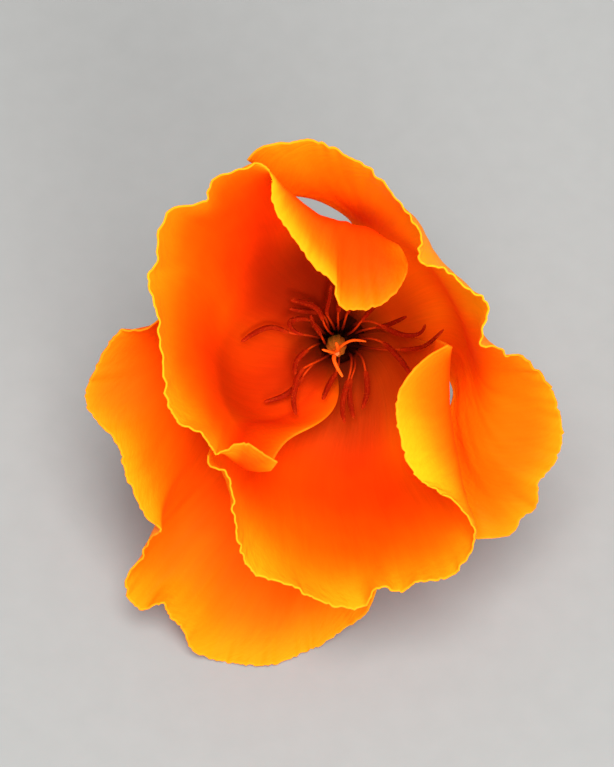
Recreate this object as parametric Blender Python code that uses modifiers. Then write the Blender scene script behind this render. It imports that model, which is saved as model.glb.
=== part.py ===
"""A California poppy picked with a short stem, lying on its side.

The bloom is modelled about its own axis, in millimetres: the origin is
where the petals are joined and +Z runs up through the bloom. Every mesh is then
written in metres. The empty "flower" leans the bloom over its stem and
sets the whole flower down on Z = 0.
"""
import math

import bmesh
import bpy
import numpy as np
from mathutils import Euler, Vector

MM = 0.001                      # the lengths below are in millimetres
LEAN = 44.0                     # degrees the bloom leans forward, towards -Y
ROLL = 0.0                      # degrees it is rolled to its side
PETAL_THICKNESS = 0.4
PETAL_ACROSS = 36               # cells of a petal's sheet, side to side
PETAL_ALONG = 12                # cells from its claw to its rim
FILAMENT_RADIUS = 0.16
ANTHER_RADIUS = 0.25
RECEPTACLE_HEIGHT = 6.4
STEM_RADIUS = 1.2


def arc(radius, start, end, height, count=5):
    """Points on an arc about the bloom's axis, as (percent across, x, y, z)."""
    points = []
    for i in range(count):
        angle = math.radians(start + (end - start) * i / (count - 1))
        points.append((100 * i / (count - 1), radius * math.cos(angle),
                       radius * math.sin(angle), height))
    return points


# Each petal is lofted through six rows of points, from its claw to its rim.
# ROWS is how far up the petal each row lies. A point is the percentage of
# the way across the row, then x, y and z.
ROWS = (0.0, 0.12, 0.34, 0.58, 0.82, 1.0)


# The inner left petal: a flat floor, then a steep wall. Its lower tip curls
# in, and its upper third folds over the cup as a flap.
INNER_LEFT = (
    arc(2.1, 262, 100, 1.0),
    [(0, 0.3, -5.0, 4.4), (25, -4.7, -3.0, 3.2), (50, -5.0, 2.6, 3.0), (75, -1.4, 5.4, 3.0),
     (100, 2.4, 4.8, 3.2)],
    [(0, -2.2, -8.0, 8.0), (15, -8.6, -7.0, 7.6), (35, -12.0, 0.5, 7.4), (55, -9.3, 9.0, 7.4),
     (75, -2.5, 12.0, 7.6), (100, 4.8, 10.1, 7.8)],
    [(0, -5.9, -8.6, 14.0), (12, -11.6, -5.6, 15.0), (25, -14.8, 1.0, 15.5),
     (40, -15.3, 10.0, 15.5), (55, -11.5, 17.0, 15.5), (67, -6.0, 18.6, 15.5),
     (80, -0.5, 16.6, 15.0), (100, 5.0, 13.2, 14.0)],
    [(0, -7.5, -9.0, 24.0), (4, -9.5, -8.5, 25.0), (8, -11.5, -7.5, 25.5),
     (14, -13.0, -5.0, 25.0), (25, -17.0, 1.5, 25.5), (40, -19.0, 13.0, 25.5),
     (50, -17.0, 20.0, 25.5), (60, -12.0, 24.5, 25.0), (67, -7.5, 25.5, 25.5),
     (75, -3.0, 22.0, 25.0), (83, 0.0, 20.0, 23.5), (90, 2.5, 18.5, 22.0), (100, 6.5, 16.0, 20.0)],
    [(0, -6.5, -7.0, 27.0), (4, -9.0, -5.5, 28.0), (8, -11.0, -4.5, 28.5),
     (13, -14.0, -5.5, 29.0), (16, -14.5, -3.5, 30.0), (20, -17.0, -2.0, 30.5),
     (24, -18.5, 0.5, 31.0), (29, -19.0, 4.5, 31.0), (32, -19.5, 7.5, 31.0),
     (38, -20.0, 12.5, 31.0), (41, -20.5, 14.5, 31.0), (44, -20.0, 16.5, 31.0),
     (46.5, -19.5, 18.5, 31.0), (50, -18.0, 22.0, 30.5), (54, -14.5, 23.0, 30.0),
     (57, -14.0, 25.0, 29.5), (60, -12.0, 26.0, 28.5), (64, -8.5, 26.5, 27.5),
     (67, -7.5, 25.5, 27.0), (71, -7.0, 22.0, 28.0), (75, -5.0, 18.5, 28.0),
     (80, -2.0, 15.0, 28.0), (83, 0.0, 13.0, 28.0), (85, 0.0, 11.5, 28.0), (88, 2.0, 10.5, 27.5),
     (91, 4.0, 10.5, 27.0), (94, 6.5, 12.0, 26.0), (97, 7.5, 14.0, 24.0), (100, 7.5, 15.0, 22.0)],
)

# The inner front petal: its right edge curls in over the cup.
INNER_FRONT = (
    arc(2.75, 245, 378, 0.7),
    arc(5.8, 235, 375, 2.2),
    [(0, -11.0, -5.6, 6.4), (25, -4.9, -11.8, 6.4), (50, 3.0, -12.4, 6.5), (75, 9.3, -8.0, 6.5),
     (100, 10.8, 1.5, 7.0)],
    [(0, -12.9, -6.0, 14.0), (20, -8.8, -13.8, 14.0), (40, -0.5, -17.5, 14.0),
     (60, 8.5, -15.0, 14.0), (75, 11.5, -9.1, 14.0), (88, 11.2, -2.8, 13.5),
     (100, 11.4, 3.2, 12.5)],
    [(0, -14.0, -6.5, 22.5), (12, -12.0, -11.5, 23.5), (25, -9.0, -17.5, 23.0),
     (40, -1.0, -21.5, 22.5), (50, 5.5, -20.5, 23.0), (60, 11.0, -18.5, 23.5),
     (68, 15.0, -16.0, 24.0), (75, 14.5, -13.0, 24.5), (81, 13.5, -9.5, 24.5),
     (87, 12.5, -5.5, 24.0), (93, 12.0, -1.0, 23.0), (100, 12.5, 4.5, 21.0)],
    [(0, -14.5, -6.5, 26.5), (3, -14.0, -7.5, 27.0), (6, -13.0, -8.0, 27.5),
     (11, -11.5, -10.5, 28.0), (16, -11.5, -14.0, 28.5), (22, -10.5, -17.5, 28.0),
     (27, -9.0, -20.0, 27.5), (31, -6.0, -21.5, 27.0), (36, -3.0, -23.0, 27.0),
     (42, 1.0, -24.5, 26.5), (45, 3.0, -24.0, 26.5), (48, 4.5, -21.5, 27.5),
     (52, 7.0, -22.5, 27.0), (55, 8.5, -21.0, 27.5), (59, 11.5, -20.5, 27.5),
     (63, 13.5, -19.5, 27.0), (67, 15.0, -17.0, 26.5), (70, 15.0, -15.0, 27.0),
     (74, 13.5, -12.0, 27.5), (77, 11.5, -10.5, 28.0), (81, 9.0, -9.0, 28.0),
     (85, 7.5, -6.5, 28.0), (89, 6.5, -3.5, 27.5), (92.5, 6.5, -0.5, 27.0),
     (95.5, 7.5, 2.0, 26.0), (98, 9.5, 4.5, 25.0), (100, 12.0, 5.5, 23.5)],
)

# The outer left petal, with a pleat halfway round its rim.
OUTER_LEFT = (
    arc(3.45, 185, 285, 0.3),
    arc(6.4, 178, 285, 1.4),
    arc(13.8, 165, 283, 5.4),
    [(0, -15.6, 8.2, 12.0), (20, -16.6, 0.0, 12.5), (40, -15.0, -10.5, 11.5),
     (60, -12.0, -18.0, 10.5), (80, -5.0, -20.8, 10.5), (100, 1.5, -19.8, 11.0)],
    [(0, -17.0, 9.0, 17.0), (10, -19.5, 5.5, 18.5), (20, -20.5, -1.0, 18.5),
     (30, -20.0, -8.5, 18.5), (40, -19.5, -15.0, 18.0), (45, -20.5, -18.5, 15.5),
     (52, -20.5, -22.5, 14.0), (62, -16.5, -25.5, 14.0), (75, -10.5, -28.5, 14.0),
     (88, -3.0, -27.0, 14.0), (100, 2.5, -23.0, 15.0)],
    [(0, -18.5, 10.0, 21.0), (3, -20.5, 7.5, 22.0), (6, -22.0, 6.5, 22.0),
     (10, -24.5, 6.5, 22.0), (14, -26.5, 3.5, 21.5), (19, -28.5, -1.0, 21.0),
     (22, -27.5, -3.5, 21.0), (26, -24.5, -7.0, 21.5), (29, -24.0, -9.0, 21.5),
     (33, -23.0, -12.5, 21.5), (36, -21.5, -15.5, 22.0), (38.5, -20.0, -16.5, 23.0),
     (41, -21.0, -17.5, 21.0), (46, -22.5, -21.0, 18.0), (50, -24.0, -24.0, 17.5),
     (53, -24.0, -26.5, 17.0), (56, -22.0, -27.5, 17.0), (58, -20.5, -27.0, 17.5),
     (60, -19.5, -27.5, 17.5), (63, -19.0, -29.0, 17.5), (66, -17.5, -30.0, 17.5),
     (69, -17.0, -32.5, 17.0), (72, -14.5, -34.0, 16.2), (77, -11.0, -34.5, 16.6),
     (82, -7.0, -34.5, 16.5), (86, -4.0, -33.5, 15.5), (90, -1.5, -32.5, 15.0),
     (93, 1.0, -30.5, 15.5), (97, 3.5, -28.0, 17.0), (100, 4.5, -25.0, 18.0)],
)

# The outer right petal: an upright wall between two spreading lobes.
OUTER_RIGHT = (
    arc(3.45, -5, 92, 0.3),
    arc(6.4, -8, 84, 1.4),
    [(0, 12.2, -1.1, 6.4), (25, 13.2, 3.2, 5.8), (50, 10.9, 8.3, 5.6), (75, 6.2, 12.2, 5.6),
     (100, 1.8, 13.4, 6.0)],
    [(0, 12.4, -3.1, 14.6), (15, 15.4, -1.6, 17.0), (35, 15.2, 3.4, 15.5), (50, 12.9, 8.9, 14.5),
     (65, 9.3, 13.9, 14.0), (80, 5.0, 17.0, 13.0), (100, 0.2, 18.2, 12.5)],
    [(0, 13.9, -11.4, 17.7), (10, 17.4, -9.8, 20.6), (20, 19.6, -4.5, 21.0),
     (30, 18.9, 1.3, 21.5), (38, 16.9, 4.6, 22.5), (45, 15.6, 8.0, 23.0), (53, 14.4, 11.6, 23.0),
     (62, 11.0, 15.1, 22.0), (70, 9.0, 18.4, 20.5), (80, 4.5, 21.5, 18.5),
     (90, -1.0, 24.0, 18.0), (100, -7.0, 23.5, 18.0)],
    [(0, 15.5, -18.0, 21.0), (3, 17.5, -18.0, 21.0), (5, 20.0, -17.5, 21.0),
     (7, 20.5, -15.5, 21.0), (10, 22.5, -14.0, 21.5), (12, 22.5, -11.5, 22.0),
     (15, 24.0, -9.5, 22.0), (18, 25.0, -7.0, 22.0), (22, 25.0, -4.5, 22.0),
     (25, 24.5, -2.0, 22.5), (29, 23.5, 1.0, 23.0), (32, 22.0, 3.0, 24.0), (35, 20.0, 4.5, 25.0),
     (37.5, 18.5, 5.0, 26.0), (40, 17.5, 6.0, 27.0), (43, 15.5, 6.5, 28.0),
     (46, 16.0, 9.0, 28.5), (50, 16.5, 11.5, 29.0), (53, 15.5, 12.5, 29.0),
     (56, 13.5, 13.5, 29.0), (60, 11.5, 15.0, 28.5), (63, 10.0, 15.5, 28.0),
     (65.5, 8.5, 16.5, 27.0), (68, 9.0, 17.5, 26.0), (71, 9.0, 19.0, 25.0),
     (75, 7.5, 21.0, 24.0), (79, 5.0, 23.5, 23.0), (83, 3.0, 25.5, 22.0), (86, 1.0, 26.5, 22.0),
     (91, -2.5, 28.0, 22.0), (95, -6.0, 28.0, 22.0), (98, -9.0, 27.5, 22.0),
     (100, -10.0, 26.0, 22.0)],
)

# Stamens, each from its root on the receptacle, by way of the bends in its
# filament, to its anther's tip. The anther is the last part, from ANTHER_FROM.
ANTHER_FROM = 0.5
STAMENS = (
    [(-1.3, 0.5, 0.6), (-1.6, 0.7, 1.8), (-3.6, 1.6, 4.0), (-5.5, 2.1, 4.8), (-7.2, 2.9, 5.6), (-11.0, 1.7, 7.6)],
    [(-1.0, -0.9, 0.6), (-1.3, -1.1, 1.8), (-3.2, -2.4, 4.1), (-5.5, -4.8, 5.9), (-8.4, -5.6, 7.2)],
    [(-0.3, -1.0, 0.6), (-0.8, -1.2, 2.2), (-2.6, -1.7, 4.2), (-4.2, -2.4, 5.6), (-4.8, -3.8, 6.8),
     (-5.0, -5.2, 7.6), (-4.7, -6.7, 8.8)],
    [(-1.6, -0.2, 0.6), (-3.4, -0.2, 4.0), (-4.7, -1.4, 5.2), (-4.8, -2.6, 6.2)],
    [(0.8, -1.4, 0.6), (1.7, -1.3, 2.6), (1.6, -2.9, 4.2), (1.0, -4.6, 5.8), (0.7, -6.4, 6.9),
     (0.9, -7.8, 8.2)],
    [(1.0, -1.0, 0.5), (2.2, -2.2, 2.2), (1.6, -4.1, 4.1), (1.6, -6.0, 5.2), (2.0, -7.8, 6.4)],
    [(1.4, -0.8, 0.5), (2.9, -1.4, 2.4), (3.4, -2.8, 4.0), (3.6, -4.8, 5.2), (3.0, -6.7, 6.2)],
    [(1.6, 0.0, 0.5), (4.5, 0.9, 3.4), (5.7, 0.6, 4.6), (6.7, -0.1, 5.8), (8.0, -1.5, 6.8),
     (8.5, -2.2, 7.6)],
    [(1.1, -0.4, 0.5), (4.4, -0.3, 3.0), (7.6, 0.3, 5.8), (9.6, 1.0, 7.6), (11.0, 2.4, 9.6),
     (12.2, 3.9, 10.6)],
    [(1.1, 1.1, 0.5), (2.4, 2.6, 2.4), (3.8, 3.2, 3.8), (6.3, 2.5, 5.4), (8.4, 2.2, 6.6),
     (9.8, 2.7, 7.0), (10.2, 3.7, 7.4)],
    [(1.5, 0.6, 0.5), (3.6, 1.9, 2.4), (5.6, 2.6, 3.6), (6.6, 3.1, 4.2), (8.1, 4.1, 5.2)],
    [(-0.6, 1.2, 0.6), (-0.8, 1.6, 1.8), (-1.7, 4.0, 3.7), (-3.4, 4.6, 4.7), (-5.4, 5.2, 5.9)],
    [(-0.3, 0.9, 0.6), (-0.4, 1.2, 2.2), (-1.4, 3.0, 4.6), (-2.2, 5.0, 5.4), (-3.7, 5.9, 6.0),
     (-5.3, 6.5, 7.0)],
    [(-1.0, 0.9, 0.6), (-1.3, 1.2, 1.8), (-2.7, 3.1, 4.0), (-4.3, 3.9, 5.4), (-5.4, 3.6, 6.2), (-5.0, 2.9, 6.9),
     (-3.8, 2.4, 7.2)],
    [(-0.1, 1.4, 0.6), (-0.2, 1.7, 1.8), (-0.6, 3.0, 3.5), (-1.1, 4.3, 4.6), (-0.8, 6.6, 5.8), (-0.7, 8.2, 6.8)],
    [(0.2, 1.1, 0.5), (0.2, 2.6, 3.2), (0.2, 4.4, 4.6), (0.5, 6.6, 6.0), (0.9, 9.2, 7.6)],
    [(0.5, 1.3, 0.5), (0.7, 1.8, 1.8), (1.1, 3.6, 3.5), (1.8, 5.6, 4.9), (2.9, 7.8, 6.7)],
    [(0.9, 0.7, 0.5), (2.0, 2.0, 3.4), (3.1, 3.8, 5.0), (4.6, 5.8, 6.2), (6.2, 7.4, 7.6)],
    [(-1.0, -0.4, 0.6), (-1.3, 0.2, 2.6), (-1.9, 1.9, 4.8), (-2.6, 3.4, 6.4), (-3.0, 4.9, 8.0)],
    [(0.2, -1.0, 0.6), (0.3, -1.5, 2.2), (0.1, -2.6, 3.8), (-0.8, -3.9, 5.4), (-1.6, -5.4, 7.0)],
)

# The stigma's thread-like lobes, from the top of the ovary.
OVARY_TOP = 6.4
STIGMAS = (
    [(0.0, 0.0, 5.6), (-0.3, -0.6, 6.6), (0.1, -1.6, 7.0), (0.7, -2.6, 7.2)],
    [(0.0, 0.0, 5.6), (-0.5, 0.2, 6.6), (-1.1, 0.5, 7.2), (-1.7, 0.7, 7.3)],
    [(0.0, 0.0, 5.6), (0.5, 0.5, 7.0), (1.5, 0.8, 7.8), (2.8, 0.9, 7.9)],
    [(0.0, 0.0, 5.6), (0.1, 0.5, 6.8), (0.1, 1.1, 7.6), (-0.1, 1.7, 8.0)],
)

# The stem's route from the receptacle's foot, measured from the petals'
# joint with +Y behind the bloom and +Z straight up from the surface.
STEM = ((0.0, 3.9, -4.1), (0.1, 6.4, -6.7), (0.6, 9.6, -9.6), (1.8, 13.0, -11.2),
        (4.4, 17.2, -11.6), (8.0, 21.2, -11.6))
STEM_REST = -11.2               # its axis where it lies on the surface


def clear_scene():
    for thing in list(bpy.data.objects):
        bpy.data.objects.remove(thing, do_unlink=True)


def new_collection(name):
    collection = bpy.data.collections.new(name)
    bpy.context.scene.collection.children.link(collection)
    return collection


def material(name, colour, roughness):
    mat = bpy.data.materials.new(name)
    mat.use_nodes = True
    shader = mat.node_tree.nodes["Principled BSDF"]
    shader.inputs["Base Color"].default_value = (*colour, 1.0)
    shader.inputs["Roughness"].default_value = roughness
    shader.inputs["Metallic"].default_value = 0.0
    mat.diffuse_color = (*colour, 1.0)
    return mat


def smooth_through(knots, values, wanted):
    """A natural cubic spline through rows of values, read at the wanted places."""
    x = np.asarray(knots, float)
    y = np.asarray(values, float)
    gap = np.diff(x)
    count = len(x)
    system = np.eye(count)
    right = np.zeros_like(y)
    for i in range(1, count - 1):
        system[i, i - 1] = gap[i - 1]
        system[i, i] = 2 * (gap[i - 1] + gap[i])
        system[i, i + 1] = gap[i]
        right[i] = 6 * ((y[i + 1] - y[i]) / gap[i] - (y[i] - y[i - 1]) / gap[i - 1])
    bend = np.linalg.solve(system, right)
    i = np.clip(np.searchsorted(x, wanted) - 1, 0, count - 2)
    step = gap[i][:, None]
    a = (x[i + 1] - wanted)[:, None] / step
    b = (wanted - x[i])[:, None] / step
    curve = (a ** 3 - a) * bend[i] + (b ** 3 - b) * bend[i + 1]
    return a * y[i] + b * y[i + 1] + curve * step ** 2 / 6


def smooth_route(points, count):
    """Evenly spaced points on a smooth curve through the given ones."""
    points = np.asarray(points, float)
    knots = np.concatenate([[0], np.cumsum(np.linalg.norm(np.diff(points, axis=0), axis=1))])
    fine = smooth_through(knots, points, np.linspace(0, knots[-1], 200))
    run = np.concatenate([[0], np.cumsum(np.linalg.norm(np.diff(fine, axis=0), axis=1))])
    wanted = np.linspace(0, run[-1], count)
    return np.stack([np.interp(wanted, run, fine[:, k]) for k in range(3)], axis=1)


def petal_sheet(rows, across, along):
    """The petal's middle surface as an (along + 1, across + 1, 3) grid."""
    u = np.linspace(0.0, 1.0, across + 1)
    v = np.linspace(0.0, 1.0, along + 1)
    lines = []
    for row in rows:
        row = np.asarray(row, float)
        lines.append(smooth_through(row[:, 0] / 100, row[:, 1:], u))
    grid = smooth_through(ROWS, np.array(lines).reshape(len(rows), -1), v)
    return grid.reshape(along + 1, across + 1, 3)


def make_petal(name, rows, mat, collection, parent):
    grid = petal_sheet(rows, PETAL_ACROSS, PETAL_ALONG)
    mesh = bpy.data.meshes.new(name)
    vertices = (grid.reshape(-1, 3) * MM).tolist()
    width = PETAL_ACROSS + 1
    faces = []
    for row in range(PETAL_ALONG):
        for cell in range(PETAL_ACROSS):
            a = row * width + cell
            faces.append((a, a + 1, a + width + 1, a + width))
    mesh.from_pydata(vertices, [], faces)
    mesh.materials.append(mat)
    mesh.shade_smooth()
    petal = bpy.data.objects.new(name, mesh)
    collection.objects.link(petal)
    petal.parent = parent
    shell = petal.modifiers.new("thickness", 'SOLIDIFY')
    shell.thickness = PETAL_THICKNESS * MM
    shell.offset = 0.0
    return petal


def make_wire(name, points, radii, collection, resolution):
    """A round wire of changing radius through the points, with closed ends."""
    curve = bpy.data.curves.new(name, 'CURVE')
    curve.dimensions = '3D'
    curve.bevel_depth = MM
    curve.bevel_resolution = resolution
    curve.use_fill_caps = True
    spline = curve.splines.new('POLY')
    spline.points.add(len(points) - 1)
    for point, place, radius in zip(spline.points, points, radii):
        point.co = (*(Vector(place) * MM), 1.0)
        point.radius = radius
    wire = bpy.data.objects.new(name, curve)
    collection.objects.link(wire)
    return wire


def curve_to_mesh(wire, collection):
    """Replaces a curve object by the same shape as one welded mesh."""
    depsgraph = bpy.context.evaluated_depsgraph_get()
    mesh = bpy.data.meshes.new_from_object(wire.evaluated_get(depsgraph))
    cleaned = bmesh.new()
    cleaned.from_mesh(mesh)
    bmesh.ops.remove_doubles(cleaned, verts=cleaned.verts, dist=0.000001)
    cleaned.to_mesh(mesh)
    cleaned.free()
    name = wire.name
    bpy.data.objects.remove(wire, do_unlink=True)
    solid = bpy.data.objects.new(name, mesh)
    collection.objects.link(solid)
    return solid


def make_stamen(name, points, mat, collection, parent):
    route = smooth_route(points, 10)
    radii = []
    for i in range(len(route)):
        along = i / (len(route) - 1)
        is_anther = ANTHER_FROM < along < 0.999
        radii.append(ANTHER_RADIUS if is_anther else FILAMENT_RADIUS)
    stamen = make_wire(name, route, radii, collection, 1)
    stamen.data.materials.append(mat)
    stamen.parent = parent
    return stamen


def turned(name, profile, steps, collection):
    """A profile of (radius, height) turned about the bloom's axis."""
    mesh = bpy.data.meshes.new(name)
    vertices = [(radius * MM, 0.0, height * MM) for radius, height in profile]
    edges = [(i, i + 1) for i in range(len(profile) - 1)]
    mesh.from_pydata(vertices, edges, [])
    body = bpy.data.objects.new(name, mesh)
    collection.objects.link(body)
    spin = body.modifiers.new("turn", 'SCREW')
    spin.axis = 'Z'
    spin.steps = steps
    spin.render_steps = steps
    spin.use_merge_vertices = True
    spin.merge_threshold = 0.00001
    spin.use_smooth_shade = True
    return body


def join(body, others):
    """Unites the other solids with the body, and keeps them as guides."""
    for other in others:
        other.hide_render = True
        other.display_type = 'WIRE'
        unite = body.modifiers.new("with " + other.name, 'BOOLEAN')
        unite.operation = 'UNION'
        unite.solver = 'EXACT'
        unite.object = other


def make_pistil(mat, collection, cutters, parent):
    profile = ((0.0, OVARY_TOP), (0.3, OVARY_TOP - 0.1), (0.46, 5.4), (0.75, 4.0), (0.92, 2.6),
               (0.86, 1.4), (0.6, 0.4), (0.0, 0.4))
    pistil = turned("pistil", profile, 12, collection)
    pistil.data.materials.append(mat)
    pistil.parent = parent
    lobes = []
    for number, points in enumerate(STIGMAS, 1):
        route = smooth_route(points, 7)
        radii = np.linspace(0.24, 0.13, len(route))
        wire = make_wire("stigma_lobe_%d" % number, route, radii, cutters, 1)
        lobe = curve_to_mesh(wire, cutters)
        lobe.parent = parent
        lobes.append(lobe)
    join(pistil, lobes)
    return pistil


def make_stem(mat, collection, cutters, parent):
    """The funnel-shaped receptacle with its spreading rim, and the cut stem."""
    foot = -RECEPTACLE_HEIGHT
    profile = ((0.0, -0.2), (3.8, -0.2), (4.4, -0.3), (4.5, -0.5), (4.3, -0.65), (3.6, -0.75),
               (3.2, -1.3), (2.7, -2.7), (2.1, -4.2), (1.6, -5.5), (STEM_RADIUS, foot), (0.0, foot))
    receptacle = turned("stem_and_receptacle", profile, 24, collection)
    receptacle.data.materials.append(mat)
    receptacle.parent = parent
    upright = bloom_turn().inverted()
    route = smooth_route(STEM, 14)
    route[:, 2] = np.maximum(route[:, 2], STEM_REST)
    route = [upright @ Vector(place) for place in route]
    radii = [STEM_RADIUS] * len(route)
    stem = curve_to_mesh(make_wire("stem", route, radii, cutters, 4), cutters)
    stem.parent = parent
    join(receptacle, [stem])
    return receptacle


def bloom_turn():
    return Euler((math.radians(LEAN), math.radians(ROLL), 0.0)).to_matrix()


def set_down(flower, collection):
    """Moves the flower so that its box stands on Z = 0, centred on the origin."""
    bpy.context.view_layer.update()
    depsgraph = bpy.context.evaluated_depsgraph_get()
    low = Vector((math.inf, math.inf, math.inf))
    high = -low
    for piece in collection.objects:
        if piece.type not in {'MESH', 'CURVE'}:
            continue
        solid = piece.evaluated_get(depsgraph)
        mesh = solid.to_mesh()
        for vertex in mesh.vertices:
            place = solid.matrix_world @ vertex.co
            low = Vector(map(min, low, place))
            high = Vector(map(max, high, place))
        solid.to_mesh_clear()
    centre = (low + high) / 2
    flower.location -= Vector((centre.x, centre.y, low.z))
    bpy.context.view_layer.update()


def main():
    clear_scene()
    parts = new_collection("poppy_flower")
    cutters = new_collection("poppy_flower_guides")
    flower = bpy.data.objects.new("flower", None)
    flower.empty_display_size = 0.01
    flower.rotation_euler = bloom_turn().to_euler()
    parts.objects.link(flower)

    inner = material("inner_petal_orange", (0.93, 0.12, 0.005), 0.55)
    outer = material("outer_petal_orange", (0.95, 0.2, 0.006), 0.55)
    anther = material("stamen_dark_red", (0.2, 0.012, 0.004), 0.6)
    ovary = material("pistil_olive_orange", (0.4, 0.16, 0.02), 0.5)
    green = material("stem_green", (0.2, 0.34, 0.08), 0.5)

    make_petal("petal_inner_left", INNER_LEFT, inner, parts, flower)
    make_petal("petal_inner_front", INNER_FRONT, inner, parts, flower)
    make_petal("petal_outer_left", OUTER_LEFT, outer, parts, flower)
    make_petal("petal_outer_right", OUTER_RIGHT, outer, parts, flower)
    for number, points in enumerate(STAMENS, 1):
        make_stamen("stamen_%02d" % number, points, anther, parts, flower)
    make_pistil(ovary, parts, cutters, flower)
    make_stem(green, parts, cutters, flower)
    set_down(flower, parts)


main()
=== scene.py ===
# %% [markdown]
# # A California poppy, picked with a short stem
# The real flower has four silky petals around a tuft of stamens and a slender
# pistil, all growing from a funnel-shaped receptacle on a smooth stem. The CAD
# model gives the places and sizes. This lesson makes the surfaces that are
# seen: ruffled petals thin enough for light to glow through, stamens with
# grooved pollen sacs, a ribbed ovary and a ridged stem.

# %% Tools and the CAD frame
import math

import bmesh
import bpy
import numpy as np
from mathutils import Matrix, Vector


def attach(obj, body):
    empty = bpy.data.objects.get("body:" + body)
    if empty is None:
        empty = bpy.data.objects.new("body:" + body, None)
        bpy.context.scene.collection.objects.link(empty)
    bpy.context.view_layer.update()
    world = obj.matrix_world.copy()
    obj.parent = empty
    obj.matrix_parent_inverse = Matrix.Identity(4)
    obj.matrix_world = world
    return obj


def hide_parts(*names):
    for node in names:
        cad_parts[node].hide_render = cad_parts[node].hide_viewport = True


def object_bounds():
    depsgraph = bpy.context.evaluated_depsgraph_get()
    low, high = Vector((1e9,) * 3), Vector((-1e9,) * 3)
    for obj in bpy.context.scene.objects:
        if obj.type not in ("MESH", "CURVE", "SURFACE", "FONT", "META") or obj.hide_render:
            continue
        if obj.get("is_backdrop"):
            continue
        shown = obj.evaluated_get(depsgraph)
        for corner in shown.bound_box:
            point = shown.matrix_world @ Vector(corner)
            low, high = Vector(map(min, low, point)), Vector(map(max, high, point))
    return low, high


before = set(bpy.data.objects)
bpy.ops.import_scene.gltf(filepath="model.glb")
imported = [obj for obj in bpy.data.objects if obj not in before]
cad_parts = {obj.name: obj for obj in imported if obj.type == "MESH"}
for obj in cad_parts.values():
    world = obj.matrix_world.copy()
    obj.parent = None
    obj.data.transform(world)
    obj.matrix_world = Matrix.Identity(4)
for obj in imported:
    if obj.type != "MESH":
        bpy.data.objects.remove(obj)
CAD_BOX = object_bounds()
MM = 0.001
print("CAD box, mm:", [[round(c / MM, 1) for c in corner] for corner in CAD_BOX])

# %% [markdown]
# ## The bloom's own axis
# A flower is easiest to describe about its own axis: the origin where the
# petals are joined, +Z up through the bloom, lengths in millimetres. The
# picked flower leans 44 degrees forward and rests on its lowest petal and its
# stem, so one turn and one shift bring every point into the world.

# %% From the bloom's axis to the world
LEAN = math.radians(44.0)
BLOOM_AT = np.array((1.63, 7.27, 12.40))    # mm
LEAN_TURN = np.array(Matrix.Rotation(LEAN, 3, 'X'))


def to_world(points):
    """Points about the bloom's axis, in mm, as world points in metres."""
    return (np.asarray(points, float) @ LEAN_TURN.T + BLOOM_AT) * MM


def place_in_scene(name, data):
    """A new object in the scene that shows a mesh, a curve, a lamp or a camera."""
    placed = bpy.data.objects.new(name, data)
    bpy.context.scene.collection.objects.link(placed)
    return placed


print("the petals join at, mm:", (to_world((0, 0, 0)) / MM).round(2))

# %% [markdown]
# ## Colours and one node helper
# Plant pigments are easiest to pick as sRGB hex colours, but shaders work in
# linear light, so one function turns one into the other. A second one adds a
# node to any tree, shader or geometry, with its settings and its links. In a
# Mix node for colours, the two colours are inputs 6 and 7.

# %% Colour and node helpers
def linear(hex_colour):
    """An sRGB hex colour as linear RGBA."""
    parts = [int(hex_colour[i:i + 2], 16) / 255 for i in (1, 3, 5)]
    return (*[c / 12.92 if c <= 0.04045 else ((c + 0.055) / 1.055) ** 2.4 for c in parts], 1.0)


def add(tree, kind, feeds=(), stops=(), **settings):
    """Adds a node with its settings, and links or sets its inputs.

    Feeds go by name in a dict, or in order; a node stands for its first output.
    """
    node = tree.nodes.new(kind)
    for name, value in settings.items():
        setattr(node, name, value)
    for socket, value in feeds.items() if isinstance(feeds, dict) else enumerate(feeds):
        if isinstance(value, bpy.types.Node):
            value = value.outputs[0]
        if isinstance(value, bpy.types.NodeSocket):
            tree.links.new(value, node.inputs[socket])
        else:
            node.inputs[socket].default_value = value
    if stops:
        points = node.color_ramp.elements
        while len(points) < len(stops):
            points.new(0.5)
        for point, (position, hex_colour) in zip(points, stops):
            point.position, point.color = position, linear(hex_colour)
    return node


def new_material(name):
    """An empty node material, and its tree."""
    material = bpy.data.materials.new(name)
    material.use_nodes = True
    material.node_tree.nodes.clear()
    return material, material.node_tree


print("petal orange in linear light:", [round(c, 3) for c in linear("#F9780A")[:3]])

# %% [markdown]
# ## Smooth curves through a few points
# Petals, filaments and the stem are all drawn with a handful of points and a
# natural cubic spline, which bends evenly and has no corners, as a growing
# thing does.

# %% Splines
def smooth_through(knots, values, wanted):
    """A natural cubic spline through rows of values, read at the wanted places."""
    x = np.asarray(knots, float)
    y = np.asarray(values, float)
    gap = np.diff(x)
    count = len(x)
    system = np.eye(count)
    right = np.zeros_like(y)
    for i in range(1, count - 1):
        system[i, i - 1:i + 2] = gap[i - 1], 2 * (gap[i - 1] + gap[i]), gap[i]
        right[i] = 6 * ((y[i + 1] - y[i]) / gap[i] - (y[i] - y[i - 1]) / gap[i - 1])
    bend = np.linalg.solve(system, right)
    i = np.clip(np.searchsorted(x, wanted) - 1, 0, count - 2)
    step = gap[i][:, None]
    a = (x[i + 1] - wanted)[:, None] / step
    b = (wanted - x[i])[:, None] / step
    curve = (a ** 3 - a) * bend[i] + (b ** 3 - b) * bend[i + 1]
    return a * y[i] + b * y[i + 1] + curve * step ** 2 / 6


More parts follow.
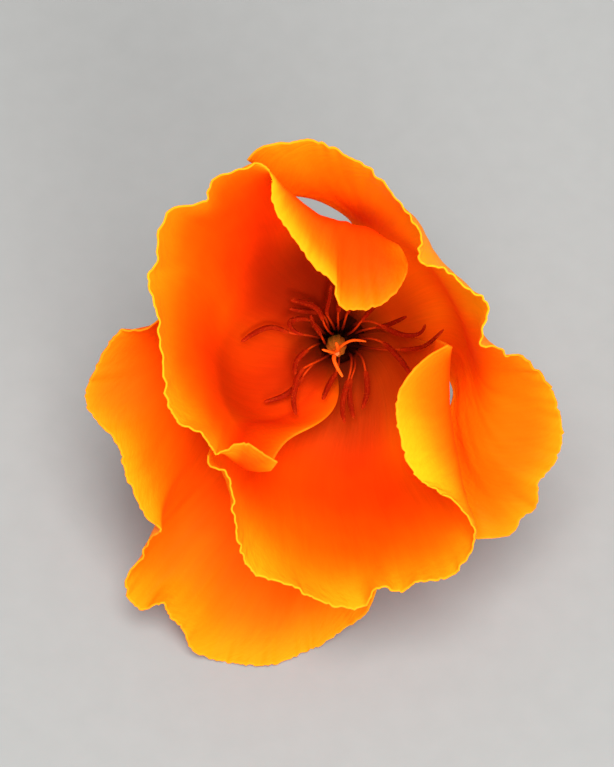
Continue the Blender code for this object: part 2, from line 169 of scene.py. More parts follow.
def smooth_route(points, count):
    """Evenly spaced points on a smooth curve through the given ones."""
    points = np.asarray(points, float)
    knots = np.concatenate([[0], np.cumsum(np.linalg.norm(np.diff(points, axis=0), axis=1))])
    fine = smooth_through(knots, points, np.linspace(0, knots[-1], 300))
    run = np.concatenate([[0], np.cumsum(np.linalg.norm(np.diff(fine, axis=0), axis=1))])
    wanted = np.linspace(0, run[-1], count)
    return np.stack([np.interp(wanted, run, fine[:, k]) for k in range(3)], axis=1)


def arc(radius, start, end, height, count=5):
    """Points on an arc about the bloom's axis, as (percent across, x, y, z)."""
    angles = np.radians(np.linspace(start, end, count))
    share = np.linspace(0, 100, count)
    return [(s, radius * math.cos(a), radius * math.sin(a), height) for s, a in zip(share, angles)]


print("a test route of 3 points has", len(smooth_route([(0, 0, 0), (1, 1, 0), (2, 0, 0)], 9)), "points")

# %% [markdown]
# ## The petals' shapes
# A fresh poppy petal is a fan of thin tissue: a narrow claw at its foot, a
# belly, a wall, and a wavy rim. It could be sculpted or simulated as cloth,
# but the folds of these four petals are particular, so each is a loft through
# six rows of points from claw to rim. The last row follows every wave of the
# rim. ROWS says how far up the petal each row lies.

# %% Rows of the four petals, as (percent across, x, y, z) in mm
ROWS = (0.0, 0.12, 0.34, 0.58, 0.82, 1.0)
# The inner left petal: a flat floor, then a steep wall. Its lower tip curls in, and
# its upper third folds over the cup as a flap.
INNER_LEFT = (
    arc(2.1, 262, 100, 1.0),
    [(0, 0.3, -5, 4.4), (25, -4.7, -3, 3.2), (50, -5, 2.6, 3), (75, -1.4, 5.4, 3), (100, 2.4, 4.8, 3.2)],
    [(0, -2.2, -8, 8), (15, -8.6, -7, 7.6), (35, -12, 0.5, 7.4), (55, -9.3, 9, 7.4), (75, -2.5, 12, 7.6),
     (100, 4.8, 10.1, 7.8)],
    [(0, -5.9, -8.6, 14), (12, -11.6, -5.6, 15), (25, -14.8, 1, 15.5), (40, -15.3, 10, 15.5),
     (55, -11.5, 17, 15.5), (67, -6, 18.6, 15.5), (80, -0.5, 16.6, 15), (100, 5, 13.2, 14)],
    [(0, -7.6, -8.9, 24), (4, -9.4, -8.7, 25), (8, -11.4, -7.6, 25.5), (14, -13.2, -4.8, 25),
     (25, -17.2, 1.5, 25.5), (40, -18.9, 13, 25.5), (46, -18.2, 16.8, 25.5), (50, -16.8, 20, 25.5),
     (54, -14, 21, 25.3), (57, -13, 22.9, 25.1), (60, -12, 24.3, 25),
     (67, -7.6, 25.4, 25.5), (75, -3.1, 21.8, 25), (83, 0, 20, 23.5), (90, 2.5, 18.6, 22),
     (100, 6.5, 16, 20)],
    [(0, -6.7, -7.1, 27), (4, -8.8, -5.4, 28), (8, -10.8, -4.5, 28.5), (13, -13.8, -5.4, 29),
     (16, -14.6, -3.4, 30), (20, -17.1, -1.9, 30.5), (24, -18.6, 0.5, 31), (29, -19.1, 4.5, 31),
     (32, -19.4, 7.3, 31), (38, -20.1, 12.3, 31), (41, -20.7, 14.6, 31), (44, -19.8, 16.6, 31),
     (46.5, -19.6, 18.7, 31), (50, -18.2, 22.2, 30.5), (54, -14.4, 23.2, 30), (57, -13.9, 25, 29.5),
     (60, -12, 25.9, 28.5), (64, -8.5, 26.6, 27.3), (67, -7.3, 25.4, 27), (71, -7.1, 22.2, 28),
     (75, -4.8, 18.5, 28), (80, -2, 14.8, 28), (83, -0.2, 13, 28), (85, -0.1, 11.3, 28),
     (88, 1.9, 10.4, 27.5), (91, 4.1, 10.6, 27), (94, 6.3, 11.9, 26), (97, 7.6, 13.8, 24),
     (100, 7.5, 14.9, 22)],
)
# The inner front petal: its right edge curls in over the cup.
INNER_FRONT = (
    arc(2.75, 245, 378, 0.7),
    arc(5.8, 235, 375, 2.2),
    [(0, -11, -5.6, 6.4), (25, -4.9, -11.8, 6.4), (50, 3, -12.4, 6.5), (75, 9.3, -8, 6.5),
     (100, 10.8, 1.5, 7)],
    [(0, -12.9, -6, 14), (20, -8.8, -13.8, 14), (40, -0.5, -17.5, 14), (60, 8.5, -15, 14),
     (75, 11.5, -9.1, 14), (88, 11.2, -2.8, 13.5), (100, 11.4, 3.2, 12.5)],
    [(0, -14, -6.4, 22.5), (12, -12, -11.3, 23.5), (25, -8.8, -17.3, 23), (40, -1, -21.5, 22.5),
     (50, 5.5, -20.3, 23), (60, 11, -18.5, 23.5), (68, 15, -15.8, 24), (75, 14.6, -12.8, 24.5),
     (81, 13.5, -9.5, 24.5), (87, 12.6, -5.5, 24), (93, 12.1, -1, 23), (100, 12.7, 4.6, 21)],
    [(0, -14.4, -6.5, 26.5), (3, -14.2, -7.6, 27), (6, -12.8, -7.9, 27.5), (11, -11.7, -10.7, 28),
     (16, -11.4, -14, 28.5), (22, -10.6, -17.7, 28), (27, -8.9, -20.2, 27.5), (31, -5.9, -21.3, 27),
     (36, -3.1, -22.8, 27), (42, 0.9, -24.4, 26.5), (45, 3.2, -24, 26.5), (48, 4.5, -21.6, 27.5),
     (52, 7, -22.3, 27), (55, 8.7, -21.1, 27.5), (59, 11.5, -20.7, 27.5), (63, 13.7, -19.5, 27),
     (67, 15.1, -17, 26.5), (70, 15.2, -15, 27), (74, 13.4, -12, 27.5), (77, 11.4, -10.3, 28),
     (81, 9.1, -8.9, 28), (85, 7.5, -6.4, 28), (89, 6.7, -3.3, 27.5), (92.5, 6.4, -0.6, 27),
     (95.5, 7.4, 2, 26), (98, 9.7, 4.3, 25), (100, 12.2, 5.4, 23.5)],
)
# The outer left petal, with a pleat halfway round its rim. The flower rests on it.
OUTER_LEFT = (
    arc(3.45, 185, 285, 0.3),
    arc(6.4, 178, 285, 1.4),
    arc(13.8, 165, 283, 5.4),
    [(0, -15.6, 8.2, 12), (20, -16.6, 0, 12.5), (40, -15, -10.5, 11.5), (60, -12, -18, 10.5),
     (80, -5, -20.8, 10.5), (100, 1.5, -19.8, 11)],
    [(0, -17, 9, 17), (10, -19.5, 5.5, 18.5), (20, -20.5, -1, 18.5), (30, -20, -8.5, 18.5),
     (40, -19.5, -15, 18), (45, -20.5, -18.5, 15.5), (52, -20.5, -22.5, 14), (62, -16.5, -25.5, 14),
     (75, -10.5, -28.5, 14), (88, -3, -27, 14), (100, 2.5, -23, 15)],
    [(0, -18.5, 10, 21), (3, -20.3, 7.6, 22), (6, -22, 6.7, 22), (10, -24.5, 6.4, 22),
     (14, -26.5, 3.4, 21.5), (19, -28.3, -1.1, 21), (22, -27.6, -3.4, 21), (26, -24.7, -6.8, 21.5),
     (29, -24.2, -9.1, 21.5), (33, -22.9, -12.6, 21.5), (36, -21.4, -15.3, 22), (38.5, -19.9, -16.4, 23),
     (41, -20.9, -17.6, 21), (46, -22.4, -21.2, 18), (50, -24.2, -24, 17.5), (53, -23.8, -26.6, 17),
     (56, -22, -27.7, 17), (58, -20.6, -26.8, 17.5), (60, -19.7, -27.3, 17.5), (63, -18.9, -28.8, 17.5),
     (66, -17.7, -30, 17.5), (69, -16.9, -32.4, 17), (72, -14.5, -34, 16.2), (77, -11, -34.5, 16.6),
     (82, -7, -34.5, 16.5), (86, -4, -33.5, 15.5), (90, -1.5, -32.5, 15), (93, 1, -30.5, 15.5),
     (97, 3.5, -28, 17), (100, 4.5, -25, 18)],
)
# The outer right petal: an upright wall between two spreading lobes.
OUTER_RIGHT = (
    arc(3.45, -5, 92, 0.3),
    arc(6.4, -8, 84, 1.4),
    [(0, 12.2, -1.1, 6.4), (25, 13.2, 3.2, 5.8), (50, 10.9, 8.3, 5.6), (75, 6.2, 12.2, 5.6),
     (100, 1.8, 13.4, 6)],
    [(0, 12.4, -3.1, 14.6), (15, 15.4, -1.6, 17), (35, 15.2, 3.4, 15.5), (50, 12.9, 8.9, 14.5),
     (65, 9.3, 13.9, 14), (80, 5, 17, 13), (100, 0.2, 18.2, 12.5)],
    [(0, 13.9, -11.4, 17.7), (10, 17.4, -9.8, 20.6), (20, 19.6, -4.5, 21), (30, 18.9, 1.3, 21.5),
     (38, 16.9, 4.6, 22.5), (45, 15.6, 8, 23), (53, 14.4, 11.6, 23), (62, 11, 15.1, 22),
     (70, 9, 18.4, 20.5), (80, 4.5, 21.5, 18.5), (90, -1, 24, 18), (100, -7, 23.5, 18)],
    [(0, 15.4, -17.9, 21), (3, 17.3, -17.9, 21), (5, 19.9, -17.3, 21), (7, 20.7, -15.7, 21),
     (10, 22.6, -13.8, 21.5), (12, 22.6, -11.5, 22), (15, 23.9, -9.5, 22), (18, 25, -7.2, 22),
     (22, 25.2, -4.3, 22), (25, 24.6, -1.8, 22.5), (29, 23.5, 0.9, 23), (32, 21.9, 2.9, 24),
     (35, 20.2, 4.6, 25), (37.5, 18.7, 4.9, 26), (40, 17.5, 6, 27), (43, 15.7, 6.6, 28),
     (46, 16, 8.9, 28.5), (50, 16.3, 11.5, 29), (53, 15.3, 12.4, 29), (56, 13.5, 13.6, 29),
     (60, 11.7, 15.2, 28.5), (63, 9.8, 15.5, 28), (65.5, 8.7, 16.3, 27), (68, 9.1, 17.3, 26),
     (71, 8.8, 18.8, 25), (75, 7.4, 20.8, 24), (79, 5.2, 23.4, 23), (83, 3, 25.4, 22),
     (86, 0.8, 26.6, 22), (91, -2.5, 28.2, 22), (95, -5.8, 28, 22), (98, -8.8, 27.3, 22),
     (100, -10, 26, 22)],
)
PETALS = {"petal_inner_left": INNER_LEFT, "petal_inner_front": INNER_FRONT,
          "petal_outer_left": OUTER_LEFT, "petal_outer_right": OUTER_RIGHT}
for name, rows in PETALS.items():
    print(name, "rim points:", len(rows[-1]))


# %% Loft a petal through its rows
def petal_sheet(rows, across, along):
    """A petal's middle surface as an (along + 1, across + 1, 3) grid, in mm."""
    u = np.linspace(0.0, 1.0, across + 1)
    v = np.linspace(0.0, 1.0, along + 1)
    lines = []
    for row in rows:
        row = np.asarray(row, float)
        lines.append(smooth_through(row[:, 0] / 100, row[:, 1:], u))
    grid = smooth_through(ROWS, np.array(lines).reshape(len(rows), -1), v)
    return grid.reshape(along + 1, across + 1, 3)


print("a coarse sheet of the inner left petal:", petal_sheet(INNER_LEFT, 22, 13).shape)

# %% [markdown]
# ## Dents beside the folds
# Where two petals lean on each other, or one folds over, the tissue gives way
# for a few millimetres. Rows of points are too coarse for that, so a few
# smooth bumps of about a millimetre are added to the loft instead. In them,
# u runs from 0 to 1 across the petal and v from 0 at the claw to 1 at the rim.

# %% Dents
def eased(value, start, end):
    """0 at the start, 1 at the end, with a soft rise between."""
    share = np.clip((value - start) / (end - start), 0, 1)
    return share * share * (3 - 2 * share)


def dented(name, grid):
    """Shifts a petal sheet, in mm, where a fold or a neighbour presses on it."""
    v, u = np.meshgrid(*(np.linspace(0, 1, count) for count in grid.shape[:2]), indexing="ij")
    if name == "petal_outer_right":
        # Its free side stands off for a few millimetres beside the front petal's fold.
        grid[..., 0] += 0.85 * np.exp(-((v - 0.565) / 0.066) ** 2 - (u / 0.05) ** 2)
        # Its other free side dips where the left petal's flap begins.
        grid[..., 1] -= 1.4 * np.exp(-((v - 0.79) / 0.09) ** 2 - ((1 - u) / 0.06) ** 2)
    if name == "petal_inner_left":
        # Its flap sags along the crease, away from the wall behind it.
        sag = eased(u, 0.665, 0.7) * eased(u, 0.945, 0.87)
        grid[..., 1] -= 1.05 * sag * np.exp(-((v - 0.77) / 0.13) ** 2)
    return grid


flat = np.zeros((14, 23, 3))
print("deepest dent in the right petal, mm:", round(float(-dented("petal_outer_right", flat).min()), 2))

# %% [markdown]
# ## Ruffles, pleats and the distance to the margin
# Close up, a petal isn't smooth: soft pleats fan out along it and its margin
# is finely ruffled and nicked, because the tissue grows faster there than
# behind it. Sums of a few sine waves give that with no randomness. The margin
# of every petal is also lighter than its middle, so the mesh carries how far
# each point is from the margin, for the material to read.

# %% Waves and margin distances
PLEAT = 0.05                    # mm, the height of the pleats
RUFFLE = 0.16                   # mm, the height of the ruffles at the rim
NICK = 0.13                     # mm, the depth of the nicks in the rim


def waves(u, counts, starts):
    """A sum of sine waves across the petal, about -1 to 1."""
    total = sum(np.sin(2 * math.pi * (n * u + s)) for n, s in zip(counts, starts))
    return total / len(counts) * 1.4


def grid_normals(grid):
    """The direction that each point of a grid faces."""
    across = np.gradient(grid, axis=1)
    along = np.gradient(grid, axis=0)
    normal = np.cross(across, along)
    return normal / (np.linalg.norm(normal, axis=2, keepdims=True) + 1e-9)


def ruffled(grid, wave_start):
    """Adds pleats along the petal, ruffles near its rim and nicks in the rim."""
    along, across = grid.shape[0] - 1, grid.shape[1] - 1
    u = np.linspace(0, 1, across + 1)[None, :]
    v = np.linspace(0, 1, along + 1)[:, None]
    # All three fade out towards the side margins, and grow from claw to rim.
    side = np.clip(np.minimum(u, 1 - u) * 12, 0, 1)
    pleats = waves(u + 0.02 * v, (13, 19, 29), (wave_start, 0.3, 0.7)) * np.clip(v * 1.6 - 0.5, 0, 1)
    ruffles = waves(u, (23, 37, 51), (0.1, wave_start, 0.5)) * np.clip((v - 0.86) / 0.14, 0, 1) ** 2
    nicks = waves(u, (41, 67, 97), (0.6, 0.2, wave_start)) * np.clip((v - 0.9) / 0.1, 0, 1) ** 2
    lift = (PLEAT * pleats + RUFFLE * ruffles) * side
    moved = grid + grid_normals(grid) * lift[:, :, None]
    outward = np.gradient(grid, axis=0)
    outward /= np.linalg.norm(outward, axis=2, keepdims=True) + 1e-9
    return moved + outward * (NICK * nicks * side)[:, :, None]


def edge_run(grid, axis):
    """How far each point is from a grid's first and last edges along an axis, in mm."""
    steps = np.linalg.norm(np.diff(grid, axis=axis), axis=2)
    run = np.concatenate([np.zeros_like(steps.take([0], axis)), np.cumsum(steps, axis)], axis)
    return run, run.take([-1], axis) - run


middle = RUFFLE * waves(0.5, (23, 37, 51), (0.1, 0.0, 0.5))
print("ruffle at the middle of a rim, mm:", round(float(middle), 3))

# %% [markdown]
# ## Pale margins and painted shade in the cups
# The pale margin reaches further into the petals in some places than in
# others, and in some it turns golden. Deep in the cup the colour turns dull:
# partly the pigment's deeper base colour, partly painted shade, darkest as the
# painted shadow under the left petal's flap. Both change round each petal, so
# they are lists of entries by percent across, and the mesh carries the result
# to the material as attributes.

# %% How each petal's colour changes across it
# (percent across, the margin distance in mm whose colour the rim starts with,
# the pale margin's width compared with usual, how golden it is, and the margin
# distance in mm whose colour the middle of the petal settles on)
PALE = {
    "petal_inner_left": ((0, 4, 0.2, 0.0, 14), (7, 4, 0.25, 0.0, 16), (12, 0.5, 1.4, 0.15, 30),
                         (28, 0, 1.2, 0.4, 30), (42, 0, 2.2, 0.45, 26), (52, 0.5, 1.3, 0.15, 30),
                         (60, 1, 0.8, 0.2, 24), (68, 1.5, 0.35, 0.55, 14), (80, 1.5, 0.4, 0.45, 14),
                         (88, 3, 0.35, 0.1, 16), (94, 4.5, 0.3, 0.0, 18), (100, 4.5, 0.3, 0.0, 18)),
    "petal_inner_front": ((0, 1, 2.0, 0.0, 10), (15, 0, 1.5, 0.15, 20), (25, 0, 1.5, 0.45, 26),
                          (45, 0, 1.0, 0.2, 30), (62, 0.5, 1.1, 0.1, 9), (74, 0, 1.1, 0.2, 9),
                          (84, 0, 1.0, 0.7, 10), (90, 0.5, 0.85, 0.4, 10), (95, 2, 0.6, 0.05, 9),
                          (100, 4, 0.5, 0.0, 9)),
    "petal_outer_left": ((0, 3, 0.4, 0.0, 10), (15, 2.5, 0.5, 0.0, 10), (22, 1, 0.6, 0.0, 10),
                         (30, 0.5, 0.5, 0.2, 8), (45, 1, 0.8, 0.1, 10), (58, 0.7, 1.1, 0.1, 12),
                         (85, 0.5, 1.05, 0.05, 11), (100, 0.5, 1.05, 0.0, 11)),
    "petal_outer_right": ((0, 2, 0.8, 0.0, 8), (20, 2.2, 0.55, 0.1, 7.5), (33, 2, 0.5, 0.0, 6),
                          (40, 1, 1.2, 0.2, 6.5), (48, 0, 2.6, 0.55, 7), (57, 0, 3.2, 0.6, 8),
                          (68, 0, 2.6, 0.4, 12), (80, 0.5, 1.5, 0.15, 20), (90, 0, 1.1, 0.1, 20),
                          (100, 0, 1.1, 0.1, 20)),
}
# (percent across, how far up the petal the dull colour begins, how far up it is
# complete, how dull it gets). The dull colour is partly the pigment's deeper base
# colour and partly painted shade deep in the cup; in the inner left petal, from 56
# percent across on, it is painted shadow under the flap.
CUP_TONE_AND_SHADE = {
    "petal_inner_left": ((0, 0.74, 0.66, 0.15), (8, 0.67, 0.6, 0.2), (15, 0.61, 0.54, 0.3),
                         (24, 0.53, 0.45, 0.35), (34, 0.46, 0.38, 0.38), (47, 0.4, 0.28, 0.5),
                         (56, 0.52, 0.24, 0.8), (70, 0.64, 0.28, 1.0), (100, 0.64, 0.28, 1.0)),
    "petal_inner_front": ((0, 0.44, 0.18, 0.9),),
    "petal_outer_left": ((0, 0.32, 0.18, 0.9),),
    "petal_outer_right": ((0, 0.32, 0.18, 0.9),),
}
ACROSS, ALONG = 220, 130        # cells across a petal and up it
GOLD_REACH = 4.0                # mm that gold reaches in, where the margin is of usual width
CLAW_HIDDEN = 12.0              # mm added at the claw, whose side margins aren't pale
SIDE_FADE = 5.0                 # how many times narrower the pale edge is on a side


def across_petal(entries):
    """Columns of a list by percent across, read at every column of the grid."""
    shares, *columns = np.array(entries).T
    here = np.linspace(0, 100, ACROSS + 1)
    return [np.interp(here, shares, column)[None, :] for column in columns]


def margin_values(grid, node):
    """The attributes that tell the material where on the petal a point is."""
    up_run, to_rim = edge_run(grid, 0)
    left_run, right_run = edge_run(grid, 1)
    up = np.broadcast_to(np.linspace(0, 1, ALONG + 1)[:, None], to_rim.shape)
    side = np.minimum(left_run, right_run)
    hidden = CLAW_HIDDEN * np.clip(1 - up * 2.5, 0, 1)
    start, width, golden, deepest = across_petal(PALE[node])
    depth = np.minimum(start + to_rim / width, side * SIDE_FADE + hidden)
    begins, complete, amount = across_petal(CUP_TONE_AND_SHADE[node])
    return {"margin_mm": np.minimum(to_rim, side + hidden),
            "depth_mm": deepest * (1 - np.exp(-(depth / deepest) ** 3)) ** (1 / 3),
            "gold": golden * np.exp(-(to_rim / (GOLD_REACH * width)) ** 2.5),
            # How dull the cup is here: the pigment's deeper base colour and painted shade.
            "cup_tone_and_shade": eased(up, begins, complete) * amount,
            "up": up}


print("pale entries:", {node: len(entries) for node, entries in PALE.items()})

# %% [markdown]
# ## From sheet to petal
# The loft becomes a mesh, and Solidify gives it the thickness of real tissue,
# about a fifth of a millimetre. Six attributes travel with it: the place on
# the tissue in mm, how far up the petal it is, the distance to the margin, the
# same distance shortened where the pale margin is wide, how golden the margin
# is there, and how much painted shade, with the deeper base colour, dulls the cup there.

# %% The petal maker
PETAL_THICKNESS = 0.2           # mm
FLOOR_GAP = 0.12                # mm, so that the lower face stays above the surface
FAN_HALF = 18.0                 # mm, half the width of a petal laid flat


def plain_copy(source, name):
    """The evaluated object as a new object with a plain mesh; the source goes."""
    depsgraph = bpy.context.evaluated_depsgraph_get()
    mesh = bpy.data.meshes.new_from_object(source.evaluated_get(depsgraph))
    mesh.name = name
    data = source.data
    bpy.data.objects.remove(source, do_unlink=True)
    if data.users == 0 and isinstance(data, bpy.types.Mesh):
        bpy.data.meshes.remove(data)
    return place_in_scene(name, mesh)


def tissue_places(grid):
    """Where each point lies on the petal laid out flat, in mm."""
    up_run, _ = edge_run(grid, 0)
    left_run, _ = edge_run(grid, 1)
    spread = np.linspace(-FAN_HALF, FAN_HALF, ACROSS + 1)[None, :]
    # Halfway between equal columns and true widths, so that streaks fan out from the claw.
    return np.stack([(left_run - left_run[:, -1:] / 2) * 0.5 + spread * 0.5, up_run,
                     np.zeros_like(up_run)], axis=2)


def make_petal(name, node, wave_start, tissue):
    """A solid petal of one tissue, with its attributes, from the rows of a CAD node."""
    grid = ruffled(dented(node, petal_sheet(PETALS[node], ACROSS, ALONG)), wave_start)
    world = to_world(grid.reshape(-1, 3))
    world[:, 2] = np.maximum(world[:, 2], FLOOR_GAP * MM)
    columns = ACROSS + 1
    faces = []
    for row in range(ALONG):
        for cell in range(ACROSS):
            a = row * columns + cell
            faces.append((a, a + 1, a + columns + 1, a + columns))
    mesh = bpy.data.meshes.new(name)
    mesh.from_pydata(world.tolist(), [], faces)
    mesh.materials.append(tissue)
    for label, values in margin_values(grid, node).items():
        layer = mesh.attributes.new(label, 'FLOAT', 'POINT')
        layer.data.foreach_set("value", values.astype(np.float32).ravel())
    layer = mesh.attributes.new("tissue_mm", 'FLOAT_VECTOR', 'POINT')
    layer.data.foreach_set("vector", tissue_places(grid).astype(np.float32).ravel())
    mesh.shade_smooth()
    sheet = place_in_scene(name + "_sheet", mesh)
    shell = sheet.modifiers.new("tissue", 'SOLIDIFY')
    shell.thickness = PETAL_THICKNESS * MM
    shell.offset = 0.0
    return plain_copy(sheet, name)


print("petal grid:", ACROSS, "x", ALONG, "cells")

# %% [markdown]
# ## Petal tissue
# A poppy petal is two layers of cells around air and pigment: satiny on the
# surface, with a faint sheen, and translucent, so light that enters one face
# leaves the other deeper and redder. A Principled surface mixed with a
# Translucent one gives both. Its orange comes from carotenoids, paler and
# yellower towards the margin. Long cells run from claw to rim about 0.3 mm
# apart, drawn as fine streaks in colour and relief.

# %% The petal tissue material
PALING = ((0.0, "#FF9E10"), (0.04, "#FE950C"), (0.09, "#FD8C09"), (0.15, "#FC8106"), (0.22, "#FB7505"),
          (0.32, "#FA6803"), (0.44, "#F85B03"), (0.6, "#F54C03"), (0.83, "#EA3E03"), (1.0, "#DA3403"))
PALING_MM = 24.0                # the distance from the margin that the list above covers


def petal_tissue(name, claw, deep, glow):
    """Satiny translucent tissue, given its colours at the claw, deep in the cup where painted shade dulls
    it, and lit through.
    """
    material, tree = new_material(name)
    place = add(tree, "ShaderNodeAttribute", attribute_name="tissue_mm").outputs["Vector"]
    up, depth, margin, gold, cup_tone_and_shade = (add(tree, "ShaderNodeAttribute", attribute_name=label).outputs["Fac"]
                                     for label in ("up", "depth_mm", "margin_mm", "gold", "cup_tone_and_shade"))

    def streaks(width_mm, length_mm, detail):
        """Noise drawn out from claw to rim, as cell rows and veins are."""
        at = add(tree, "ShaderNodeMapping", {"Vector": place, "Scale": (1 / width_mm, 1 / length_mm, 1.0)})
        return add(tree, "ShaderNodeTexNoise", {"Vector": at, "Scale": 1.0, "Detail": detail,
                                                "Roughness": 0.55})

    cell_rows, veins = streaks(0.3, 6.0, 3.0), streaks(0.9, 14.0, 2.0)
    mottle, crinkle = streaks(5.0, 7.0, 2.0), streaks(0.7, 1.1, 3.0)

    # The pale band's depth wanders by up to a quarter, as pigment does.
    wander = add(tree, "ShaderNodeMath", (mottle, 0.5, 0.75), operation='MULTIPLY_ADD')
    wandering = add(tree, "ShaderNodeMath", (depth, wander), operation='MULTIPLY')
    share = add(tree, "ShaderNodeMath", (wandering, PALING_MM), operation='DIVIDE')
    colour = add(tree, "ShaderNodeValToRGB", (share,), stops=PALING)
    # The margin is golden in places, the cup is duller deep down (its deeper base colour and
    # painted shade), nearly black-red at the claw, and the outermost third of a mm is almost clear.
    at_claw = add(tree, "ShaderNodeMapRange", (up, 0.15, 0.02))
    at_edge = add(tree, "ShaderNodeMapRange", (margin, 0.08, 0.3, 0.25, 0.0))
    for amount, tint in ((gold, "#FFC414"), (cup_tone_and_shade, deep), (at_claw, claw), (at_edge, "#FFC828")):
        colour = add(tree, "ShaderNodeMix", {"Factor": amount, 6: colour, 7: linear(tint)},
                     data_type='RGBA').outputs[2]
    # Veins and rows of cells are a little darker or lighter than the tissue between.
    for pattern, darkest, lightest in ((veins, 0.97, 1.02), (cell_rows, 0.96, 1.03)):
        light = add(tree, "ShaderNodeMapRange", (pattern, 0.3, 0.7, darkest, lightest))
        colour = add(tree, "ShaderNodeVectorMath", {0: colour, "Scale": light}, operation='SCALE')

    # Crinkles are deepest in the last millimetre and gone 8 mm in.
    near_rim = add(tree, "ShaderNodeMapRange", (margin, 8.0, 1.0))
    crinkles = add(tree, "ShaderNodeMath", (crinkle, near_rim), operation='MULTIPLY')
    relief = add(tree, "ShaderNodeBump", {"Height": cell_rows, "Strength": 0.5, "Distance": 0.035 * MM})
    for height, strength, height_mm in ((veins, 0.5, 0.04), (crinkles, 0.8, 0.16)):
        relief = add(tree, "ShaderNodeBump", {"Height": height, "Strength": strength,
                                              "Distance": height_mm * MM, "Normal": relief})
    surface = add(tree, "ShaderNodeBsdfPrincipled",
                  {"Base Color": colour, "Normal": relief, "Roughness": 0.5, "IOR": 1.4,
                   "Specular IOR Level": 0.18, "Specular Tint": linear("#FFC070"),
                   "Sheen Weight": 0.04, "Sheen Roughness": 0.4, "Sheen Tint": linear("#FF9A30")})
    warm = add(tree, "ShaderNodeMix", {"Factor": 0.3, 6: colour, 7: linear(glow)},
               data_type='RGBA').outputs[2]
    through = add(tree, "ShaderNodeBsdfTranslucent", {"Color": warm, "Normal": relief})
    both = add(tree, "ShaderNodeMixShader", (0.4, surface, through))
    add(tree, "ShaderNodeOutputMaterial", {"Surface": both})
    return material


# Living petal tissue: the inner petals are deep red at the claw, and the left one has the
# darkest painted shade in its cup. The outer petals are a little lighter and yellower.
LEFT_TISSUE = petal_tissue("inner_left_petal_tissue", "#701803", "#921F04", "#FF5A04")
INNER_TISSUE = petal_tissue("inner_petal_tissue", "#701803", "#B03404", "#FF5A04")
OUTER_TISSUE = petal_tissue("outer_petal_tissue", "#8A2404", "#E25406", "#FF6804")
print("tissue materials:", LEFT_TISSUE.name, INNER_TISSUE.name, OUTER_TISSUE.name)

# %% [markdown]
# ## The four petals
# Each petal takes its own starting point for the waves, so that no two rims
# match, and the tissue of its ring. The inner left petal has a tissue of its
# own, because its cup has the darkest painted shade, under its flap.

# %% Make the petals
pieces = []
for node, wave_start, tissue in (("petal_inner_left", 0.15, LEFT_TISSUE),
                                 ("petal_inner_front", 0.4, INNER_TISSUE),
                                 ("petal_outer_left", 0.75, OUTER_TISSUE),
                                 ("petal_outer_right", 0.9, OUTER_TISSUE)):
    petal = make_petal(node.replace("petal_", "poppy_petal_"), node, wave_start, tissue)
    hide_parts(node)
    pieces.append(petal)
    print(petal.name, len(petal.data.polygons), "faces")

# %% [markdown]
# ## Stamens
# Each stamen is a thread, the filament, that carries a long anther with four
# pollen sacs side by side. They could be modelled one by one, but they differ
# only in their bends, so one Geometry Nodes tree makes them all: a curve goes
# in, and the tree sweeps a round section along its first part and a grooved
# four-lobed section along the rest, then strews pollen on the anther.

# %% Geometry Nodes helpers
def new_tree(name, sockets):
    """An empty geometry tree with named inputs, and its input node's sockets."""
    tree = bpy.data.node_groups.new(name, "GeometryNodeTree")
    tree.interface.new_socket("Geometry", in_out='INPUT', socket_type="NodeSocketGeometry")
    for label, kind in sockets.items():
        tree.interface.new_socket(label, in_out='INPUT', socket_type="NodeSocket" + kind)
    tree.interface.new_socket("Geometry", in_out='OUTPUT', socket_type="NodeSocketGeometry")
    return tree, add(tree, "NodeGroupInput").outputs


def along_curve(tree, points):
    """A number that follows (share of the way, value) points along a curve."""
    node = add(tree, "ShaderNodeFloatCurve", {"Value": add(tree, "GeometryNodeSplineParameter")})
    line = node.mapping.curves[0]
    while len(line.points) < len(points):
        line.points.new(0.5, 0.5)
    for point, place in zip(line.points, points):
        point.location = place
    node.mapping.update()
    return node


def lobed_section(tree, lobes, depth, flat, resolution):
    """A unit circle whose edge swells into lobes, squeezed in one direction."""
    ring = add(tree, "GeometryNodeCurvePrimitiveCircle", {"Resolution": resolution, "Radius": 1.0})
    share = add(tree, "GeometryNodeSplineParameter")
    angle = add(tree, "ShaderNodeMath", (share, math.tau), operation='MULTIPLY')
    lobe_angle = add(tree, "ShaderNodeMath", (angle, lobes), operation='MULTIPLY')
    swing = add(tree, "ShaderNodeMath", (lobe_angle,), operation='COSINE')
    radius = add(tree, "ShaderNodeMath", (swing, depth, 1.0), operation='MULTIPLY_ADD')
    place = add(tree, "GeometryNodeInputPosition")
    swollen = add(tree, "ShaderNodeVectorMath", {0: place, "Scale": radius}, operation='SCALE')
    squeezed = add(tree, "ShaderNodeVectorMath", (swollen, (1.0, flat, 1.0)), operation='MULTIPLY')
    return add(tree, "GeometryNodeSetPosition", {"Geometry": ring, "Position": squeezed})


def swept(tree, curve, section, radius, tint):
    """A curve swept by a section of changing radius, with closed ends and a material."""
    share = add(tree, "GeometryNodeSplineParameter")
    marked = add(tree, "GeometryNodeStoreNamedAttribute",
                 {"Geometry": curve, "Name": "along", "Value": share}, data_type='FLOAT', domain='POINT')
    tube = add(tree, "GeometryNodeCurveToMesh", {"Curve": marked, "Profile Curve": section,
                                                 "Scale": radius, "Fill Caps": True})
    smooth = add(tree, "GeometryNodeSetShadeSmooth", {"Geometry": tube})
    return add(tree, "GeometryNodeSetMaterial", {"Geometry": smooth, "Material": tint})


